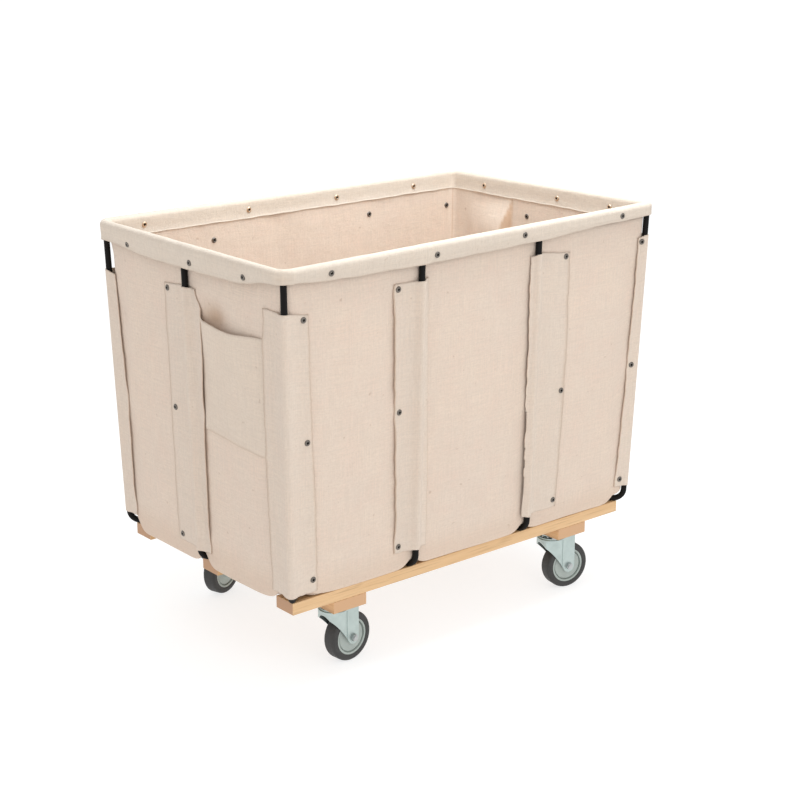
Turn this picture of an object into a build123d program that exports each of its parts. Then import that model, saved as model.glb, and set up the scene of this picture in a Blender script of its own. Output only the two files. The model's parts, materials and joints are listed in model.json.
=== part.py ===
from build123d import *
import os
from math import radians, sin, cos, hypot

# Canvas basket truck on a slatted wooden base with four swivel casters.
# Frame: origin on the floor under the middle of the basket, +X along the long side,
# +Y across it, +Z up. Millimetres.

# ---- driving dimensions -------------------------------------------------------------------
CASTER_HEIGHT = 145.0      # floor to the underside of the cross boards
BOARD_THICK = 25.4         # sawn 1 in hardwood
BOARD_EASE = 0.8           # chamfer on the boards' edges
BASE_LENGTH = 912.0
BASE_WIDTH = 572.0
RUNNER_WIDTH = 55.0
CROSS_WIDTH = 84.0
CROSS_INSET = 100.0        # runner end to the outer edge of a cross board

RIM_LENGTH = 1008.0        # over the rolled hem
RIM_WIDTH = 662.0
RIM_TOP = 871.0
RIM_CORNER = 36.0          # outer corner radius of the hem in plan
HEM_RADIUS = 12.0          # outside of the rolled bead
HEM_SKIN = 2.2
INNER_FLAP = 1.6
HEM_DROP = 40.0            # bead top to the lower edge of the outer flap
RING_RADIUS = 8.0

RIB_RADIUS = 6.35          # half-inch round bar
RIB_BEND = 25.0
CORNER_BEND = 22.0         # the corner ribs bend tighter than the others
CORNER_FOOT = 85.0         # length of a corner rib's foot on the boards
END_FOOT = 150.0
TAPER_X = 18.0             # how far each end wall leans in between ring and rib bend
TAPER_Y = 16.0
SIDE_RIB_X = 157.0
END_RIB_Y = 8.0            # the end ribs stand a little off the centre line

CANVAS = 2.0               # wall of the basket, two plies
CANVAS_CORNER = 7.4        # how far the flat across each upright corner cuts in, along the diagonal
CANVAS_FLOOR_EDGE = 30.0   # rounding between the walls and the floor
CANVAS_GAP = 0.5           # wall to rib
CANVAS_OVER_RIBS = 2.5     # basket floor to the bars that pass under it
CANVAS_UNDER_RING = 2.0    # top of the wall to the underside of the ring
SLEEVE_SKIN = 2.2
RIVET_RADIUS = 2.4
RIVET_HEAD = 6.0           # radius of the head
RIVET_HEAD_THICK = 2.0
RIVET_ROUND = 1.4          # rounding of the head
WASHER_THICK = 1.2
SHANK_GAP = 0.05           # round a fastener in its hole
SEAT_GAP = 0.1             # under a rivet's head and washer
RIVET_HOLE_PAST = 2.0      # how far a rivet's hole is cut past both ends
PAST = 1.0                 # how far a cut runs past a face

WHEEL_RADIUS = 53.0
TYRE_WIDTH = 31.0
CORE_RADIUS = 39.0
HUB_HALF = 17.2
CASTER_TRAIL = 38.5        # swivel axis to axle
SWIVEL_Y = 221.0
CASTER_SHIFT = 7.0         # the left board's casters sit this much towards the middle
FORK_INSIDE = 17.6         # wheel centre plane to the inner face of a fork leg
FORK_SKIN = 2.5
AXLE_RADIUS = 4.75
SLEEVE_RADIUS = 6.3
PLATE_X = 64.0
PLATE_Y = 92.0
PLATE_THICK = 3.0
BOLT_X = 46.0
BOLT_Y = 72.0
BOLT_RADIUS = 4.0

# ---- worked out from them -----------------------------------------------------------------
INWARD = cos(radians(45))  # share of a diagonal length along X or Y
CROSS_TOP = CASTER_HEIGHT + BOARD_THICK
RUNNER_TOP = CROSS_TOP + BOARD_THICK
RING_Z = RIM_TOP - HEM_RADIUS
RING_X = RIM_LENGTH / 2 - HEM_RADIUS
RING_Y = RIM_WIDTH / 2 - HEM_RADIUS
RING_CORNER = RIM_CORNER - HEM_RADIUS
RIB_FLOOR = RUNNER_TOP + RIB_RADIUS
BEND_Z = RIB_FLOOR + RIB_BEND
LEAN_X = TAPER_X / (RING_Z - BEND_Z)
LEAN_Y = TAPER_Y / (RING_Z - BEND_Z)
WALL_X = RING_X - RIB_RADIUS - CANVAS_GAP      # outer face of the canvas at ring height
WALL_Y = RING_Y - RIB_RADIUS - CANVAS_GAP
WALL_TOP = RING_Z - RING_RADIUS - CANVAS_UNDER_RING
CANVAS_FLOOR = RUNNER_TOP + 2 * RIB_RADIUS + CANVAS_OVER_RIBS
CORNER_X = RING_X - RING_CORNER * (1 - INWARD)
CORNER_Y = RING_Y - RING_CORNER * (1 - INWARD)
CROSS_X = BASE_LENGTH / 2 - CROSS_INSET - CROSS_WIDTH / 2

# corner name: which side of X and of Y it is on, and how the caster stands (degrees)
CORNERS = {
    "near_left": (-1, -1, 5.0),
    "near_right": (1, -1, -11.0),
    "far_left": (-1, 1, 20.0),
    "far_right": (1, 1, -5.0),
}
CASTER_X = {-1: CASTER_SHIFT - CROSS_X, 1: CROSS_X}   # swivel axis, on the left and right boards

os.makedirs("parts", exist_ok=True)
parts = {}


def cylinder(radius, z0, z1, x=0.0, y=0.0):
    """An upright cylinder from z0 to z1."""
    return Pos(x, y, (z0 + z1) / 2) * Cylinder(radius, z1 - z0)


def block(x0, x1, y0, y1, z0, z1):
    """A box given by its two corners."""
    middle = Pos((x0 + x1) / 2, (y0 + y1) / 2, (z0 + z1) / 2)
    return middle * Box(x1 - x0, y1 - y0, z1 - z0)


def hexagon(flats, z0, z1, x=0.0, y=0.0):
    """A hexagonal nut or head standing on z0."""
    outline = RegularPolygon(flats / 2, 6, major_radius=False)
    return extrude(Pos(x, y, z0) * outline, z1 - z0)


def rod(points, radius, bend=None):
    """A round bar along straight runs, with one bend radius at the corners."""
    path = Polyline(*points) if bend is None else FilletPolyline(*points, radius=bend)
    section = Plane(origin=path @ 0, z_dir=path % 0) * Circle(radius)
    return sweep(section, path=path)


def one_solid(shape):
    """The largest solid of a result, as a plain solid."""
    return max(shape.solids(), key=lambda s: s.volume)


# ---- wooden base --------------------------------------------------------------------------
def caster_bolt_spots(corner):
    side_x, side_y, _ = CORNERS[corner]
    return [
        (CASTER_X[side_x] + i * BOLT_X / 2, side_y * SWIVEL_Y + j * BOLT_Y / 2)
        for i in (-1, 1) for j in (-1, 1)
    ]


def on_runner(y):
    return abs(y) > BASE_WIDTH / 2 - RUNNER_WIDTH


BOLT_SPOTS = [spot for corner in CORNERS for spot in caster_bolt_spots(corner)]
SCREW_SPOTS = [
    (side * CROSS_X + step * BOLT_X / 2, -RUNNER_WIDTH / 4)
    for side in (-1, 1) for step in (-1, 1)
]
SCREW_RADIUS = 2.2
SCREW_HEAD = 4.8
SCREW_HEAD_THICK = 2.2
SCREW_TIP = CASTER_HEIGHT + 6

bolt_holes = [
    cylinder(BOLT_RADIUS + SHANK_GAP, CASTER_HEIGHT - PAST, RUNNER_TOP + PAST, x, y)
    for x, y in BOLT_SPOTS]
screw_holes = [
    cylinder(SCREW_RADIUS + SHANK_GAP, SCREW_TIP - PAST, RUNNER_TOP + PAST, x, y)
    for x, y in SCREW_SPOTS]


def board(x0, x1, y0, y1, z0):
    plank = block(x0, x1, y0, y1, z0, z0 + BOARD_THICK)
    plank = chamfer(plank.edges(), BOARD_EASE)
    return one_solid(plank - bolt_holes - screw_holes)


RUNNER_Y = (BASE_WIDTH - RUNNER_WIDTH) / 2
for name, y in (("near", -RUNNER_Y), ("centre", 0.0), ("far", RUNNER_Y)):
    parts[f"runner_{name}"] = board(
        -BASE_LENGTH / 2, BASE_LENGTH / 2, y - RUNNER_WIDTH / 2, y + RUNNER_WIDTH / 2, CROSS_TOP)
for name, side in (("left", -1), ("right", 1)):
    x = side * CROSS_X
    parts[f"cross_board_{name}"] = board(
        x - CROSS_WIDTH / 2, x + CROSS_WIDTH / 2, -BASE_WIDTH / 2, BASE_WIDTH / 2, CASTER_HEIGHT)

parts["board_screws"] = Compound(children=[
    one_solid(cylinder(SCREW_RADIUS, SCREW_TIP, RUNNER_TOP, x, y)
              + cylinder(SCREW_HEAD, RUNNER_TOP, RUNNER_TOP + SCREW_HEAD_THICK, x, y))
    for x, y in SCREW_SPOTS])


# ---- steel rim ring and ribs ----------------------------------------------------------------
def rim_outline(offset, z):
    """The closed rounded rectangle at a distance outside the ring's centre line."""
    outline = RectangleRounded(2 * (RING_X + offset), 2 * (RING_Y + offset), RING_CORNER + offset)
    return Pos(0, 0, z) * outline


def rim_tube(radius):
    """A round bar bent to the rim's outline."""
    path = rim_outline(0, RING_Z).wire()
    section = Plane(origin=path @ 0, z_dir=path % 0) * Circle(radius)
    return sweep(section, path=path)


ring = one_solid(rim_tube(RING_RADIUS))
parts["rim_ring"] = ring
RIB_TOP = RING_Z - RING_RADIUS / 2


def lean(x, y, z):
    """A point of the rib lines: (x, y) at ring height, leaning in lower down."""
    drop = RING_Z - z
    towards_x = (x > 0) - (x < 0)
    towards_y = (y > 0) - (y < 0)
    return (x - towards_x * LEAN_X * drop, y - towards_y * LEAN_Y * drop, z)


def corner_rib(side_x, side_y):
    knee = lean(side_x * CORNER_X, side_y * CORNER_Y, RIB_FLOOR)
    toe = (knee[0] - side_x * CORNER_FOOT * INWARD, knee[1] - side_y * CORNER_FOOT * INWARD, RIB_FLOOR)
    bar = rod([lean(side_x * CORNER_X, side_y * CORNER_Y, RIB_TOP), knee, toe], RIB_RADIUS, CORNER_BEND)
    return one_solid(bar - ring), toe


def side_rib(x):
    """One U of bar: up the near side, under the basket and up the far side."""
    drop = LEAN_Y * (RING_Z - RIB_FLOOR)
    top = RING_Y - LEAN_Y * (RING_Z - RIB_TOP)
    knee = RING_Y - drop
    line = [(x, -top, RIB_TOP), (x, -knee, RIB_FLOOR), (x, knee, RIB_FLOOR), (x, top, RIB_TOP)]
    return one_solid(rod(line, RIB_RADIUS, RIB_BEND) - ring)


def end_rib(side):
    drop = LEAN_X * (RING_Z - RIB_FLOOR)
    top = side * (RING_X - LEAN_X * (RING_Z - RIB_TOP))
    knee = side * (RING_X - drop)
    toe = knee - side * END_FOOT
    line = [(top, END_RIB_Y, RIB_TOP), (knee, END_RIB_Y, RIB_FLOOR), (toe, END_RIB_Y, RIB_FLOOR)]
    return one_solid(rod(line, RIB_RADIUS, RIB_BEND) - ring)


STRAP_FROM_TOE = 18.0      # along a corner rib's foot
STRAP_FROM_CROSS = 66.0    # from a cross board's middle out to the end rib's strap
STRAP_FROM_EDGE = 12.0     # from an outer runner's middle, outward
strap_spots = []           # middle of each strap and the heading of the bar under it
for corner, (side_x, side_y, _) in CORNERS.items():
    rib, toe = corner_rib(side_x, side_y)
    parts[f"corner_rib_{corner}"] = rib
    back = STRAP_FROM_TOE * INWARD
    strap_spots.append((toe[0] + side_x * back, toe[1] + side_y * back, 45.0 * side_x * side_y))
for name, side in (("left", -1), ("right", 1)):
    parts[f"side_rib_{name}"] = side_rib(side * SIDE_RIB_X)
    parts[f"end_rib_{name}"] = end_rib(side)
    strap_spots.append((side * (CROSS_X + STRAP_FROM_CROSS), END_RIB_Y, 0.0))
    for y in (STRAP_FROM_EDGE - RUNNER_Y, 0.0, RUNNER_Y - STRAP_FROM_EDGE):
        strap_spots.append((side * SIDE_RIB_X, y, 90.0))

STRAP_SKIN = 1.2
STRAP_WIDTH = 13.0
STRAP_WING = 11.0


def strap():
    """A pressed saddle that holds a bar down on a board, the bar along X."""
    reach = RIB_RADIUS + SHANK_GAP
    outer = reach + STRAP_SKIN
    arch = Pos(0, 0, RIB_RADIUS) * Rot(0, 90, 0) * Cylinder(outer, STRAP_WIDTH)
    half = STRAP_WIDTH / 2
    arch += block(-half, half, -outer, outer, 0, RIB_RADIUS)
    arch += block(-half, half, -outer - STRAP_WING, outer + STRAP_WING, 0, STRAP_SKIN)
    arch -= Pos(0, 0, RIB_RADIUS) * Rot(0, 90, 0) * Cylinder(reach, STRAP_WIDTH + 2 * PAST)
    arch -= block(-STRAP_WIDTH, STRAP_WIDTH, -reach, reach, -outer, RIB_RADIUS)
    return one_solid(arch)


saddle = strap()
parts["rib_straps"] = Compound(children=[
    Pos(x, y, RUNNER_TOP) * Rot(0, 0, heading) * saddle for x, y, heading in strap_spots])


# ---- canvas -------------------------------------------------------------------------------
def basket_solid(inset, z0, z1, floor_edge):
    """The basket's tapered block, inset from the wall's outer face."""
    def prism(half_width, slope, length, facing):
        """The block seen from one side, run along the other."""
        corners = [(side * (half_width - slope * (RING_Z - z) - inset), z)
                   for side, z in ((-1, z0), (1, z0), (1, z1), (-1, z1))]
        profile = make_face(Polyline(*corners, close=True))
        profile = fillet(profile.vertices().sort_by(Axis.Y)[:2], floor_edge)
        return extrude(facing * profile, length, both=True)

    solid = prism(WALL_X, LEAN_X, WALL_Y, Plane.XZ) & prism(WALL_Y, LEAN_Y, WALL_X, Plane.YZ)
    for side_x, side_y, _ in CORNERS.values():
        outward = (side_x, side_y, -(LEAN_X + LEAN_Y))
        edge = (side_x * WALL_X, side_y * WALL_Y, RING_Z)
        face = Plane(origin=edge, x_dir=(-side_y, side_x, 0), z_dir=outward)
        solid -= face * Pos(0, 0, RIM_TOP - CANVAS_CORNER - inset) * Box(RIM_TOP, 3 * RIM_TOP, 2 * RIM_TOP)
    return solid


basket = basket_solid(0, CANVAS_FLOOR, WALL_TOP, CANVAS_FLOOR_EDGE)
basket -= basket_solid(CANVAS, CANVAS_FLOOR + CANVAS, WALL_TOP + PAST, CANVAS_FLOOR_EDGE - CANVAS)
basket = one_solid(basket)

# the hem: a sheet over the ring, with an outer and an inner flap hanging from it
hem_inner = HEM_RADIUS - HEM_SKIN
over = block(-RIM_LENGTH, RIM_LENGTH, -RIM_WIDTH, RIM_WIDTH, RING_Z, RIM_TOP + PAST)
hem = (rim_tube(HEM_RADIUS) - rim_tube(hem_inner)) & over
HEM_BOTTOM = RIM_TOP - HEM_DROP


def hem_flap(outside, inside):
    """A flap down from ring height, between two distances outside the ring's centre line."""
    outline = rim_outline(outside, HEM_BOTTOM) - rim_outline(inside, HEM_BOTTOM)
    return extrude(outline, RING_Z - HEM_BOTTOM)


outer_flap = hem_flap(HEM_RADIUS, hem_inner)
inner_flap = hem_flap(INNER_FLAP - HEM_RADIUS, -HEM_RADIUS)
hem = one_solid(hem + outer_flap + inner_flap)

# walls: middle of the outer face at ring height, direction along it, outward direction, lean
WALLS = {
    "near": ((0, -WALL_Y), (1, 0), (0, -1), LEAN_Y),
    "far": ((0, WALL_Y), (-1, 0), (0, 1), LEAN_Y),
    "left": ((-WALL_X, 0), (0, -1), (-1, 0), LEAN_X),
    "right": ((WALL_X, 0), (0, 1), (1, 0), LEAN_X),
}


def wall_plane(wall, along, z):
    """A plane on a wall's outer face: its x runs along the wall and its z points outward."""
    (x, y), (ax, ay), (nx, ny), slope = WALLS[wall]
    drop = slope * (RING_Z - z)
    origin = (x + ax * along - nx * drop, y + ay * along - ny * drop, z)
    return Plane(origin=origin, x_dir=(ax, ay, 0), z_dir=(nx, ny, -slope))


ARCH_INSIDE = RIB_RADIUS + 0.3     # round the rib, under its sleeve
ARCH_OUTSIDE = ARCH_INSIDE + SLEEVE_SKIN
ROD_STAND = RIB_RADIUS + CANVAS_GAP
FLAP_LIFT = 0.2            # a flap's back to the wall
FOLD_REACH = 2.0           # how far a corner sleeve's hollow runs past its flaps


def wall_sleeve(wall, along, before, after, z0, z1):
    """A canvas strip over a rib on a flat wall, its flaps flat against the wall."""
    flaps = Polyline((-before, FLAP_LIFT), (after, FLAP_LIFT), (after, FLAP_LIFT + SLEEVE_SKIN),
                     (-before, FLAP_LIFT + SLEEVE_SKIN), close=True)
    section = make_face(flaps) + Pos(0, ROD_STAND) * Circle(ARCH_OUTSIDE)
    section += Pos(0, ROD_STAND / 2) * Rectangle(2 * ARCH_OUTSIDE, ROD_STAND)
    section -= Pos(0, FLAP_LIFT - ARCH_OUTSIDE) * Rectangle(4 * ARCH_OUTSIDE, 2 * ARCH_OUTSIDE)
    section -= Pos(0, ROD_STAND) * Circle(ARCH_INSIDE)
    section -= Pos(0, ROD_STAND / 2) * Rectangle(2 * ARCH_INSIDE, ROD_STAND)
    foot = wall_plane(wall, along, z0)
    up = foot.z_dir.cross(foot.x_dir)
    base = Plane(origin=foot.origin, x_dir=foot.x_dir, z_dir=-up)
    return one_solid(extrude(base * section, -(z1 - z0)))


def corner_sleeve(side_x, side_y, flap_x, flap_y, z0, z1):
    """A canvas strip round a corner rib, flap_x along the long side, flap_y along the end."""
    cx, cy, _ = lean(side_x * CORNER_X, side_y * CORNER_Y, z0)
    wall_x, wall_y, _ = lean(side_x * WALL_X, side_y * WALL_Y, z0)
    tip_x = cx - side_x * flap_x
    tip_y = cy - side_y * flap_y

    def wrapped(bar_radius, tip_radius, lift, reach):
        """The rib's circle and the two flap ends, with a cord pulled tight round them."""
        rounds = [
            Pos(cx, cy) * Circle(bar_radius),
            Pos(tip_x - side_x * reach, wall_y + side_y * lift) * Circle(tip_radius),
            Pos(wall_x + side_x * lift, tip_y - side_y * reach) * Circle(tip_radius),
        ]
        return make_hull([edge for shape in rounds for edge in shape.edges()])

    section = wrapped(ARCH_OUTSIDE, SLEEVE_SKIN / 2, FLAP_LIFT + SLEEVE_SKIN / 2, 0)
    section -= wrapped(ARCH_INSIDE, FLAP_LIFT / 2, FLAP_LIFT / 2, FOLD_REACH)
    past = FOLD_REACH + PAST
    beyond_x = (tip_x - past * side_x, wall_y)
    beyond_y = (wall_x, tip_y - past * side_y)
    behind = Polyline(beyond_x, beyond_y, (tip_x, tip_y), close=True)
    section -= make_face(behind)
    rise = (side_x * LEAN_X, side_y * LEAN_Y, 1)
    length = (z1 - z0) * hypot(*rise)
    return one_solid(extrude(Pos(0, 0, z0) * section, length, dir=rise))


def rivet(plane, inside, outside):
    """A tubular rivet along a plane's normal, with a domed head outside and a flat one inside."""
    shank = Pos(0, 0, (inside + outside) / 2) * Cylinder(RIVET_RADIUS, outside - inside)
    head = Pos(0, 0, outside + RIVET_HEAD_THICK / 2) * Cylinder(RIVET_HEAD, RIVET_HEAD_THICK)
    head = fillet(head.edges().sort_by(Axis.Z)[-1], RIVET_ROUND)
    washer = Pos(0, 0, inside - WASHER_THICK / 2) * Cylinder(RIVET_HEAD, WASHER_THICK)
    return plane * one_solid(shank + head + washer)


def rivet_hole(plane, inside, outside):
    """The hole for a rivet, long enough to pass through everything it joins."""
    length = outside - inside + 2 * RIVET_HOLE_PAST
    return plane * Pos(0, 0, (inside + outside) / 2) * Cylinder(RIVET_RADIUS + SHANK_GAP, length)


# sleeves on the flat walls: wall, place of the rib along it, flap before and after the rib,
# lower and upper end, place of the rivets counted from the rib
WALL_SLEEVES = {
    "near_left": ("near", -SIDE_RIB_X, 64, 22, 238, 803, -56),
    "near_right": ("near", SIDE_RIB_X, 20, 88, 236, 804, 79),
    "far_left": ("far", SIDE_RIB_X, 22, 68, 238, 802, 59),
    "far_right": ("far", -SIDE_RIB_X, 72, 22, 236, 806, -64),
    "left_end": ("left", -END_RIB_Y, 82, 38, 222, 782, -69),
    "right_end": ("right", END_RIB_Y, 36, 58, 224, 806, 44),
}
# sleeves on the corners: flap along the long side, flap along the end, lower and upper end,
# and how far from the rib the rivets are, on the long side
CORNER_SLEEVES = {
    "near_left": (60, 62, 220, 787, 46),
    "near_right": (30, 58, 240, 812, 20),
    "far_left": (58, 32, 224, 750, 44),
    "far_right": (36, 56, 228, 798, 22),
}
RIVET_INSET = 13.0         # first and last rivet of a sleeve, from its ends


def rivet_heights(z0, z1):
    """Three rivets up a sleeve, all of them above the basket's rounded lower edge."""
    lowest = max(z0 + RIVET_INSET, CANVAS_FLOOR + CANVAS_FLOOR_EDGE + RIVET_HEAD)
    return (lowest, (z0 + z1) / 2, z1 - RIVET_INSET)


sleeves = {}
sleeve_rivets = []
wall_holes = []
RIVET_IN = -CANVAS - SEAT_GAP
SLANT_GAP = 0.3            # more room under a head that sits on a slanting flap
for name, (wall, along, before, after, z0, z1, offset) in WALL_SLEEVES.items():
    sleeve = wall_sleeve(wall, along, before, after, z0, z1)
    for z in rivet_heights(z0, z1):
        spot = wall_plane(wall, along + offset, z)
        outside = FLAP_LIFT + SLEEVE_SKIN + SEAT_GAP
        sleeve_rivets.append(rivet(spot, RIVET_IN, outside))
        hole = rivet_hole(spot, RIVET_IN, outside)
        wall_holes.append(hole)
        sleeve -= hole
    sleeves[name] = one_solid(sleeve)
for corner, (flap_x, flap_y, z0, z1, offset) in CORNER_SLEEVES.items():
    side_x, side_y, _ = CORNERS[corner]
    sleeve = corner_sleeve(side_x, side_y, flap_x, flap_y, z0, z1)
    wall = "near" if side_y < 0 else "far"
    slant = ARCH_INSIDE / flap_x
    for z in rivet_heights(z0, z1):
        x = side_x * (CORNER_X - LEAN_X * (RING_Z - z) - offset)
        spot = wall_plane(wall, x if side_y < 0 else -x, z)
        outside = FLAP_LIFT + SLEEVE_SKIN + slant * (flap_x - offset + RIVET_HEAD) + SLANT_GAP
        sleeve_rivets.append(rivet(spot, RIVET_IN, outside))
        hole = rivet_hole(spot, RIVET_IN, outside)
        wall_holes.append(hole)
        sleeve -= hole
    sleeves["corner_" + corner] = one_solid(sleeve)

# rivets through the hem: places along X on the long sides and along Y on the ends
HEM_RIVET_Z = 842.0
HEM_RIVETS = {
    "near": (-376, -114, 123, 404),
    "far": (-392, -122, 124, 356),
    "left": (-204, -3, 216),
    "right": (-206, -44, 198),
}
HEM_LINES = {"near": (0, -1), "far": (0, 1), "left": (-1, 0), "right": (1, 0)}
hem_rivets = []
hem_holes = []
for wall, places in HEM_RIVETS.items():
    nx, ny = HEM_LINES[wall]
    for place in places:
        x = nx * RING_X + abs(ny) * place
        y = ny * RING_Y + abs(nx) * place
        spot = Plane(origin=(x, y, HEM_RIVET_Z), x_dir=(ny, nx, 0), z_dir=(nx, ny, 0))
        hem_rivets.append(rivet(spot, -HEM_RADIUS - SEAT_GAP, HEM_RADIUS + SEAT_GAP))
        hem_holes.append(rivet_hole(spot, -HEM_RADIUS, HEM_RADIUS))

for hole in wall_holes + hem_holes:
    basket -= hole
parts["canvas_body"] = one_solid(basket)
parts["rim_hem"] = one_solid(hem - hem_holes)
for name, sleeve in sleeves.items():
    parts[f"rib_sleeve_{name}"] = sleeve
parts["hem_rivets"] = Compound(children=hem_rivets)
parts["sleeve_rivets"] = Compound(children=sleeve_rivets)

# the pocket on the left end: a wedge open at the top, its back is the wall itself
POCKET_FROM = 37.0         # along the left wall, towards the near side
POCKET_TO = 236.0
POCKET_BOTTOM = 490.0
POCKET_TOP = 723.0
POCKET_MOUTH = 15.0
POCKET_SKIN = 2.0
POCKET_FOOT = 2.4          # how far the lower edge stands off the wall
POCKET_SEAM = 3.0          # closed strip along the lower edge


def pocket_wedge(skin, side, foot_rise, past_top):
    """The pocket's outside, or its hollow when given a skin."""
    height = POCKET_TOP - POCKET_BOTTOM
    back = FLAP_LIFT if skin == 0 else -PAST
    top = height + past_top
    profile = Polyline((back, foot_rise), (POCKET_FOOT - skin, foot_rise), (POCKET_MOUTH - skin, top),
                       (back, top), close=True)
    start = wall_plane("left", POCKET_FROM + side, POCKET_BOTTOM)
    section = Plane(origin=start.origin, x_dir=start.z_dir, z_dir=start.x_dir)
    outline = make_face(profile)
    if section.y_dir.Z < 0:
        outline = Rot(180, 0, 0) * outline
    return extrude(section * outline, POCKET_TO - POCKET_FROM - 2 * side, dir=start.x_dir)


pocket_hollow = pocket_wedge(POCKET_SKIN, POCKET_SKIN, POCKET_SEAM, PAST)
parts["pocket"] = one_solid(pocket_wedge(0, 0, 0, 0) - pocket_hollow)

# ---- casters --------------------------------------------------------------------------------
CROWN_LOW = 122.0
CROWN_THICK = 3.0
CROWN_RADIUS = 31.0
CROWN_SKIRT = 17.0         # depth of the crown's front flange where it meets the legs
FLANGE_FRONT = 1.5         # its depth at the very front
RACE_TOP = 128.5
DOME_LOW = 133.5
DOME_RADIUS = 28.0
BALL_RADIUS = 2.35
BALL_CIRCLE = 24.0
BALLS = 12
KINGPIN_RADIUS = 5.0
AXLE_EYE = 14.5            # radius of the leg's lower end round the axle
EYE_FRONT = 55.0           # degrees: where the swept edge meets the eye, from straight down
SWEEP_BOW = 2.6            # how far the front edge bows off the straight
LEG_FRONT = 7.4            # leg's front edge, inside the crown's radius
CREASE_X = 21.0            # the leg's pressed step, behind the swivel axis
CREASE_STEP = 0.9
CREASE_END = 3.0           # the step stops short of the crown
RACE_WALL = 3.0            # the raised race, inside the crown's radius
RACE_HOLLOW = 20.0
RUNNING = 0.06             # turning fit, on the radius
HUB_RADIUS = 14.0
WEB_RADIUS = 32.0
WEB_HALF = 12.0
WEB_SLOPE = 1.0            # how far the moulded and rubber sides slant in
GROOVE_HALF = 9.0
BAND_HALF = 14.2           # raised band that carries the tyre
BAND_INNER = 35.0
BEAD_REACH = 3.0           # the tyre's side slants in over this much at its bead
TYRE_SHOULDER = 6.5
AXLE_FLATS = 14.0
AXLE_HEAD = 5.5
AXLE_NUT = 5.5
AXLE_TAIL = 7.0            # bolt end past the fork
PLATE_CORNER = 7.0
DOME_ROUND = 2.5
KINGPIN_HEAD = 9.0
KINGPIN_DROP = 6.0         # head's lower face, under the crown
HEAD_GAP = 0.3
BALL_GAP = 0.02
BOLT_HEAD = 9.0
BOLT_HEAD_THICK = 3.2
BOLT_ROUND = 2.6
BOLT_TAIL = 8.8            # bolt end under the plate
NUT_FLATS = 13.0
NUT_THICK = 6.5
PLATE_LOW = CASTER_HEIGHT - PLATE_THICK
FORK_OUTSIDE = FORK_INSIDE + FORK_SKIN
LEG_REAR = CASTER_TRAIL + AXLE_EYE


def across(radius, y0, y1):
    """A cylinder along Y, round the axle line of a caster."""
    return Pos(CASTER_TRAIL, (y0 + y1) / 2, WHEEL_RADIUS) * Rot(90, 0, 0) * Cylinder(radius, y1 - y0)


def upright_face(outline):
    """A face in the fork's upright middle plane, from lines in (X, Z)."""
    upright = Plane(origin=(0, 0, 0), x_dir=(1, 0, 0), z_dir=(0, -1, 0))
    return upright * make_face(outline)


def fork_leg(side):
    """One leg of the fork: straight behind, swept forward to the crown in front."""
    axle_z = WHEEL_RADIUS
    eye_low = (CASTER_TRAIL, axle_z - AXLE_EYE)
    fore = radians(EYE_FRONT)
    front = (CASTER_TRAIL - AXLE_EYE * sin(fore), axle_z - AXLE_EYE * cos(fore))
    rear = (LEG_REAR, axle_z)
    skirt = (LEG_FRONT - CROWN_RADIUS, CROWN_LOW - CROWN_SKIRT)
    middle = ((front[0] + skirt[0]) / 2 + SWEEP_BOW, (front[1] + skirt[1]) / 2 + SWEEP_BOW)
    top = CROWN_LOW + CROWN_THICK
    outline = [
        ThreePointArc(skirt, middle, front),
        ThreePointArc(front, eye_low, rear),
        Line(rear, (LEG_REAR, top)),
        Line((LEG_REAR, top), (skirt[0], top)),
        Line((skirt[0], top), skirt),
    ]
    y = side * (FORK_INSIDE + FORK_SKIN / 2)
    leg = Pos(0, y, 0) * extrude(upright_face(outline), FORK_SKIN / 2, both=True)
    step_from, step_to = sorted((side * (FORK_OUTSIDE - CREASE_STEP), side * (FORK_OUTSIDE + PAST)))
    leg -= block(-CROWN_RADIUS, CREASE_X, step_from, step_to, 0, CROWN_LOW - CREASE_END)
    return leg - across(AXLE_RADIUS + SHANK_GAP, y - FORK_SKIN, y + FORK_SKIN)


def front_flange():
    """The crown's turned-down front edge, deepening towards both legs."""
    ring = cylinder(CROWN_RADIUS, CROWN_LOW - CROWN_SKIRT, CROWN_LOW)
    ring -= cylinder(CROWN_RADIUS - FORK_SKIN, 0, CROWN_LOW)
    tip = -CROWN_RADIUS
    leg = LEG_FRONT - CROWN_RADIUS
    corners = [
        (tip, CROWN_LOW),
        (tip, CROWN_LOW - FLANGE_FRONT),
        (leg, CROWN_LOW - CROWN_SKIRT),
        (leg, CROWN_LOW),
    ]
    outline = Polyline(*corners, close=True)
    return ring & extrude(upright_face(outline), CROWN_RADIUS, both=True)


def caster_fork():
    top = CROWN_LOW + CROWN_THICK
    crown = cylinder(CROWN_RADIUS, CROWN_LOW, top) + front_flange()
    crown += block(0, LEG_REAR, -FORK_OUTSIDE, FORK_OUTSIDE, CROWN_LOW, top)
    crown += cylinder(CROWN_RADIUS - RACE_WALL, top, RACE_TOP) - cylinder(RACE_HOLLOW, top, RACE_TOP)
    for side in (-1, 1):
        crown += fork_leg(side)
    return one_solid(crown - cylinder(KINGPIN_RADIUS + RUNNING, 0, CASTER_HEIGHT))


def turned(points, corner_radius, rounded):
    """A ring round the axle line, from its section (radius, width)."""
    section = make_face(Polyline(*points, close=True))
    corners = [v for v in section.vertices() if (round(v.X, 3), round(abs(v.Y), 3)) in rounded]
    if corners:
        section = fillet(corners, corner_radius)
    return Pos(CASTER_TRAIL, 0, WHEEL_RADIUS) * revolve(section, Axis.Y)


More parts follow.
